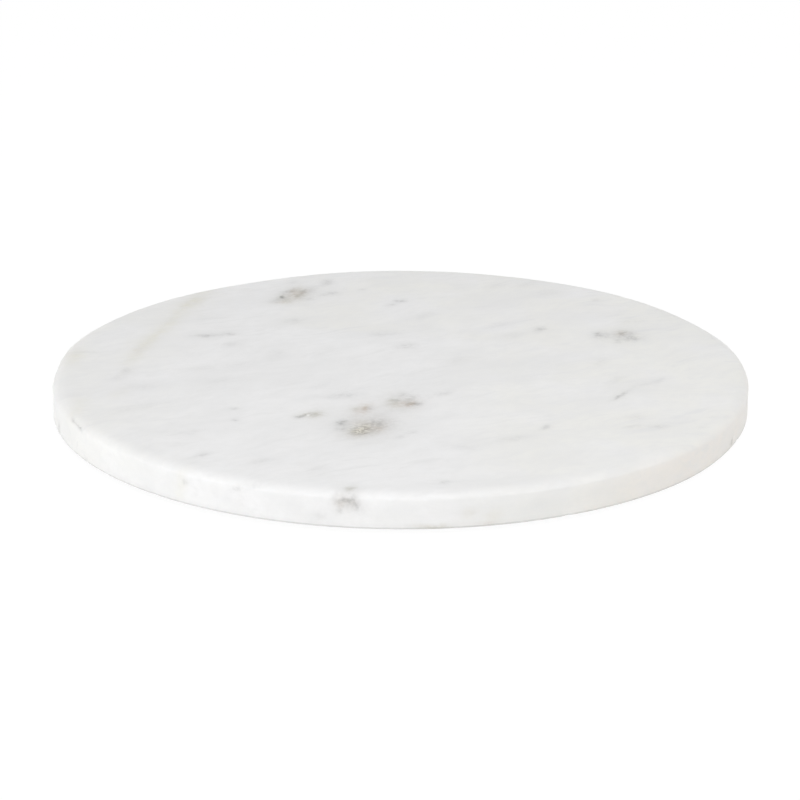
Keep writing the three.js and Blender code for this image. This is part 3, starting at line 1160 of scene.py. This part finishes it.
not_sawn = sums(stone, "SUBTRACT", 1.0, sawn)
# Painted shade: the side gets darker towards the underside, in two layers.
for layer in EDGE_SHADE_LAYERS:
    shade_top = board_bottom + layer["top"]
    shade_full = board_bottom + layer["full"]
    edge_shade = soft_range(stone, heights, shade_top, shade_full, 0.0, layer["share"])
    body_colour = mix_colours(stone, sums(stone, "MULTIPLY", edge_shade, not_sawn), body_colour, EDGE_SHADE_GREY)
print("dust in", len(EDGE_SHADE_LAYERS), "layers")

# %% [markdown]
# The finish is honed: smooth to the hand, but without a mirror shine. Dark grains are a little rougher than
# the stone round them, and the sawn underside is rougher still. The relief is far too fine to model, so the
# shader only tilts the light there.

# %% Roughness and fine relief
HONED_ROUGHNESS = 0.40
SMEAR = {"size": 18, "shows": (0.3, 0.7), "smoother": 0.04, "duller": 0.05}
GREY_DULLER = 0.12
SUGAR_SWING = 0.03
SAWN_ROUGHNESS = 0.62
GRAIN_SIZE = 0.8
GRAIN_HEIGHT = 0.02
SAW_LINE_RISE = 2.0
GREY_SINK = 1.5
RELIEF_STRENGTH = 0.5

smear_noise = cloud(stone, flowing, SMEAR["size"], seed=22.0).outputs[0]
smoothest = HONED_ROUGHNESS - SMEAR["smoother"]
dullest = HONED_ROUGHNESS + SMEAR["duller"]
roughness = soft_range(stone, smear_noise, *SMEAR["shows"], smoothest, dullest)
roughness = sums(stone, "ADD", roughness, sums(stone, "MULTIPLY", mineral_grains["grey"], GREY_DULLER))
sugar_swing = soft_range(stone, sugar_shade.outputs[0], 0.0, 1.0, -SUGAR_SWING, SUGAR_SWING)
roughness = sums(stone, "ADD", roughness, sugar_swing)
roughness = sums(stone, "ADD", roughness, sums(stone, "MULTIPLY", sawn, SAWN_ROUGHNESS - HONED_ROUGHNESS))
height = cloud(stone, in_mm, GRAIN_SIZE, detail=4, roughness=0.6, seed=23.0).outputs[0]
height = sums(stone, "ADD", height, sums(stone, "MULTIPLY", saw_lines, SAW_LINE_RISE))
height = sums(stone, "SUBTRACT", height, sums(stone, "MULTIPLY", mineral_grains["grey"], GREY_SINK))
relief = add_node(stone, "Bump", Strength=RELIEF_STRENGTH, Distance=GRAIN_HEIGHT * MM, Height=height)
print("honed to a roughness of", HONED_ROUGHNESS)

# %% [markdown]
# Light goes some millimetres into marble and comes out again nearby, which is why its edges look soft. A
# plain surface of the same colour would look like plaster, so the shader scatters light below the surface.
# The depth is nearly the same for red, green and blue, because this stone stays white where it is thin.

# %% Light inside the stone
SCATTER_DEPTH = (2.25, 2.2, 2.15)
SHINE = 0.18

finish = add_node(
    stone, "BsdfPrincipled", Base_Color=body_colour, Roughness=roughness, Normal=relief.outputs[0],
    Subsurface_Weight=1.0, Subsurface_Radius=SCATTER_DEPTH, Subsurface_Scale=MM, Specular_IOR_Level=SHINE,
)
add_node(stone, "OutputMaterial", Surface=finish.outputs[0])
print("marble finished with", len(stone.nodes), "nodes")

# %% [markdown]
# The stone is put in place of the CAD disc. It rides on the board's only body, because nothing on a serving
# board moves.

# %% Put the stone in place
slab_mesh.materials.append(marble)
slab_mesh.shade_smooth()
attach(slab, "root")
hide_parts("marble_slab")
print("stone_slab stands for marble_slab")

# %% [markdown]
# Under the stone sit four bumper feet of clear silicone, moulded in one piece: a small ring to stand on, with
# a shallow dish inside it, a domed side, and a wide base with a fine line where the two halves of the mould
# met. A bevelled cylinder would be quicker, but would have neither dish nor dome, so each foot is turned from
# one profile. Its main sizes come from the CAD foot, so that the four stay true to it, and only the dish and
# the fine line are added here.

# %% Profile of a foot
TREAD_SHARES = (0.2, 0.45, 0.7, 0.9, 1.0)
BASE_SHARES = (0.6, 0.2)
DISH_DEPTH = 0.08
DISH_SHARE = 0.85
DOME_STEPS = 12
CORNER_RADIUS = 0.06
MOULD_LINE = 0.04


def foot_profile(points, middle):
    """Reach and height of each ring of a foot, from the tread up to the base."""
    reach = np.hypot(points[:, 0] - middle[0], points[:, 1] - middle[1])
    low = points[:, 2].min()
    high = points[:, 2].max()
    base = reach.max()
    tread = reach[points[:, 2] < low + TOUCH].max()
    band_low = points[reach > base - TOUCH, 2].min()
    rings = []
    for share in TREAD_SHARES:
        dish = DISH_DEPTH * max(0.0, 1 - (share / DISH_SHARE) ** 2)
        rings.append((tread * share, low + dish))
    for step in range(1, DOME_STEPS + 1):
        angle = math.pi / 2 * step / DOME_STEPS
        dome = (base - MOULD_LINE - tread) * math.sin(angle)
        rings.append((tread + dome, low + (band_low - low) * (1 - math.cos(angle))))
    seam = (band_low + high) / 2
    rings += [(base - MOULD_LINE, seam - MOULD_LINE), (base, seam), (base - MOULD_LINE, seam + MOULD_LINE)]
    rings += [(base - MOULD_LINE, high - CORNER_RADIUS), (base - CORNER_RADIUS - MOULD_LINE, high)]
    return rings + [(base * share, high) for share in BASE_SHARES]


CORNER_NAMES = ("front_left", "front_right", "back_right", "back_left")
foot_points = {name: node_points("foot_" + name) for name in CORNER_NAMES}
foot_middles = {name: (points.min(0) + points.max(0)) / 2 for name, points in foot_points.items()}
print(len(foot_profile(foot_points["front_left"], foot_middles["front_left"])), "rings in a foot")

# %% [markdown]
# One helper turns any profile into a closed piece round an upright axis. A Spin tool would turn it too, but
# would leave a seam of doubled points to weld, and would only make it round. The helper takes an uneven
# outline if one is given, which the adhesive discs will need, because they are cut from soft sheet.

# %% Turn a profile
TURNED_SIDES = 72


def turned_piece(name, rings, middle, outline=None):
    """A closed piece turned round an upright axis through its middle."""
    angles = np.arange(TURNED_SIDES) / TURNED_SIDES * 2 * math.pi
    spread = np.ones(TURNED_SIDES) if outline is None else outline(angles)
    points = [(middle[0], middle[1], rings[0][1])]
    for reach, height in rings:
        xs = middle[0] + reach * spread * np.cos(angles)
        ys = middle[1] + reach * spread * np.sin(angles)
        points += zip(xs.tolist(), ys.tolist(), [height] * TURNED_SIDES)
    points.append((middle[0], middle[1], rings[-1][1]))
    last = len(points) - 1
    faces = []
    for side in range(TURNED_SIDES):
        beside = (side + 1) % TURNED_SIDES
        faces.append((0, 1 + beside, 1 + side))
        for ring in range(len(rings) - 1):
            low = 1 + ring * TURNED_SIDES
            high = low + TURNED_SIDES
            faces.append((low + side, low + beside, high + beside, high + side))
        faces.append((last - TURNED_SIDES + side, last - TURNED_SIDES + beside, last))
    mesh = bpy.data.meshes.new(name)
    mesh.from_pydata((np.array(points) * MM).tolist(), [], faces)
    mesh.shade_smooth()
    piece = bpy.data.objects.new(name, mesh)
    bpy.context.scene.collection.objects.link(piece)
    return piece


print("turned pieces have", TURNED_SIDES, "sides")

# %% [markdown]
# Silicone feet are clear but never like glass: they are slightly milky and their moulded skin is matt. A
# glass shader would be too clear, so the material lets about half of the light through and scatters the
# rest. Fine noise keeps its roughness from being the same all over.

# %% Clear silicone
SILICONE_COLOUR = (0.80, 0.82, 0.81, 1)
SILICONE_THROUGH = 0.5
SILICONE_IOR = 1.41
SILICONE_GRAIN = {"size": 0.6, "shows": (0.3, 0.7), "height": 0.01, "strength": 0.2}
SILICONE_ROUGHNESS = (0.28, 0.42)

silicone, soft_tree = new_material("clear_silicone")
soft_place = add_node(soft_tree, "TexCoord").outputs["Object"]
skin_noise = cloud(soft_tree, soft_place, SILICONE_GRAIN["size"] * MM, roughness=0.55, seed=31.0).outputs[0]
soft_roughness = soft_range(soft_tree, skin_noise, *SILICONE_GRAIN["shows"], *SILICONE_ROUGHNESS)
soft_relief = add_node(
    soft_tree, "Bump", Strength=SILICONE_GRAIN["strength"], Distance=SILICONE_GRAIN["height"] * MM,
    Height=skin_noise,
)
soft_finish = add_node(
    soft_tree, "BsdfPrincipled", Base_Color=SILICONE_COLOUR, Roughness=soft_roughness, IOR=SILICONE_IOR,
    Transmission_Weight=SILICONE_THROUGH, Normal=soft_relief.outputs[0],
)
add_node(soft_tree, "OutputMaterial", Surface=soft_finish.outputs[0])
print("silicone lets", SILICONE_THROUGH, "of the light through")

# %% [markdown]
# Each foot is turned round the middle of its own CAD foot and stands in for it. One foot and three copies
# would do as well, since the four are alike, but this way each follows its CAD foot if that is ever moved.

# %% Put the feet in place
for name in CORNER_NAMES:
    rings = foot_profile(foot_points[name], foot_middles[name])
    foot = turned_piece("clear_foot_" + name, rings, foot_middles[name])
    foot.data.materials.append(silicone)
    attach(foot, "root")
    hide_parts("foot_" + name)
print(len(CORNER_NAMES), "feet under the stone")

# %% [markdown]
# Between each foot and the stone lies a disc of clear adhesive. Old adhesive has a faint amber tint. It lets
# less light through than the silicone, and its sheen is a little uneven, which broad noise gives. The feet's
# own material would be near enough for most, but two layers that look alike would read as one.

# %% The adhesive
ADHESIVE_COLOUR = (0.80, 0.77, 0.66, 1)
ADHESIVE_THROUGH = 0.4
ADHESIVE_IOR = 1.47
ADHESIVE_GRAIN = {"size": 1.5, "shows": (0.3, 0.7)}
ADHESIVE_ROUGHNESS = (0.22, 0.40)

glue, glue_tree = new_material("amber_adhesive")
glue_place = add_node(glue_tree, "TexCoord").outputs["Object"]
glue_noise = cloud(glue_tree, glue_place, ADHESIVE_GRAIN["size"] * MM, seed=41.0).outputs[0]
glue_roughness = soft_range(glue_tree, glue_noise, *ADHESIVE_GRAIN["shows"], *ADHESIVE_ROUGHNESS)
glue_finish = add_node(
    glue_tree, "BsdfPrincipled", Base_Color=ADHESIVE_COLOUR, IOR=ADHESIVE_IOR, Roughness=glue_roughness,
    Transmission_Weight=ADHESIVE_THROUGH,
)
add_node(glue_tree, "OutputMaterial", Surface=glue_finish.outputs[0])
print("adhesive lets", ADHESIVE_THROUGH, "of the light through")

# %% [markdown]
# The discs are punched from sheet, so their faces are flat, but an edge creeps a little under pressure and is
# never quite round. A plain cylinder would do for a part that nobody sees, but it would be the only edge here
# that is too good. Each disc has a seed of its own, so that no two creep alike.

# %% Put the adhesive in place
EDGE_CREEP = 0.025
CREEP_LUMPS = 1.6
CREEP_SEED = 51.3
CREEP_SEED_STEP = 4.7
PAD_SHARES = (0.3, 0.7)


def creeping_outline(seed):
    """An uneven outline that stays inside the punched circle."""
    def outline(angles):
        around = np.column_stack([np.cos(angles), np.sin(angles), np.zeros_like(angles)])
        return 1 - EDGE_CREEP * (0.5 + 0.5 * uneven(around, 1 / CREEP_LUMPS, seed))
    return outline


for number, name in enumerate(CORNER_NAMES):
    points = node_points("adhesive_" + name)
    middle = (points.min(0) + points.max(0)) / 2
    low = points[:, 2].min()
    high = points[:, 2].max()
    edge = (points[:, 0].max() - points[:, 0].min()) / 2
    rings = [(edge * share, low) for share in PAD_SHARES]
    rings += [(edge - CORNER_RADIUS, low), (edge, low + CORNER_RADIUS)]
    rings += [(edge, high - CORNER_RADIUS), (edge - CORNER_RADIUS, high)]
    rings += [(edge * share, high) for share in reversed(PAD_SHARES)]
    outline = creeping_outline(CREEP_SEED + CREEP_SEED_STEP * number)
    pad = turned_piece("adhesive_pad_" + name, rings, middle, outline)
    pad.data.materials.append(glue)
    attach(pad, "root")
    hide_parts("adhesive_" + name)
print(len(CORNER_NAMES), "adhesive discs hold the feet")
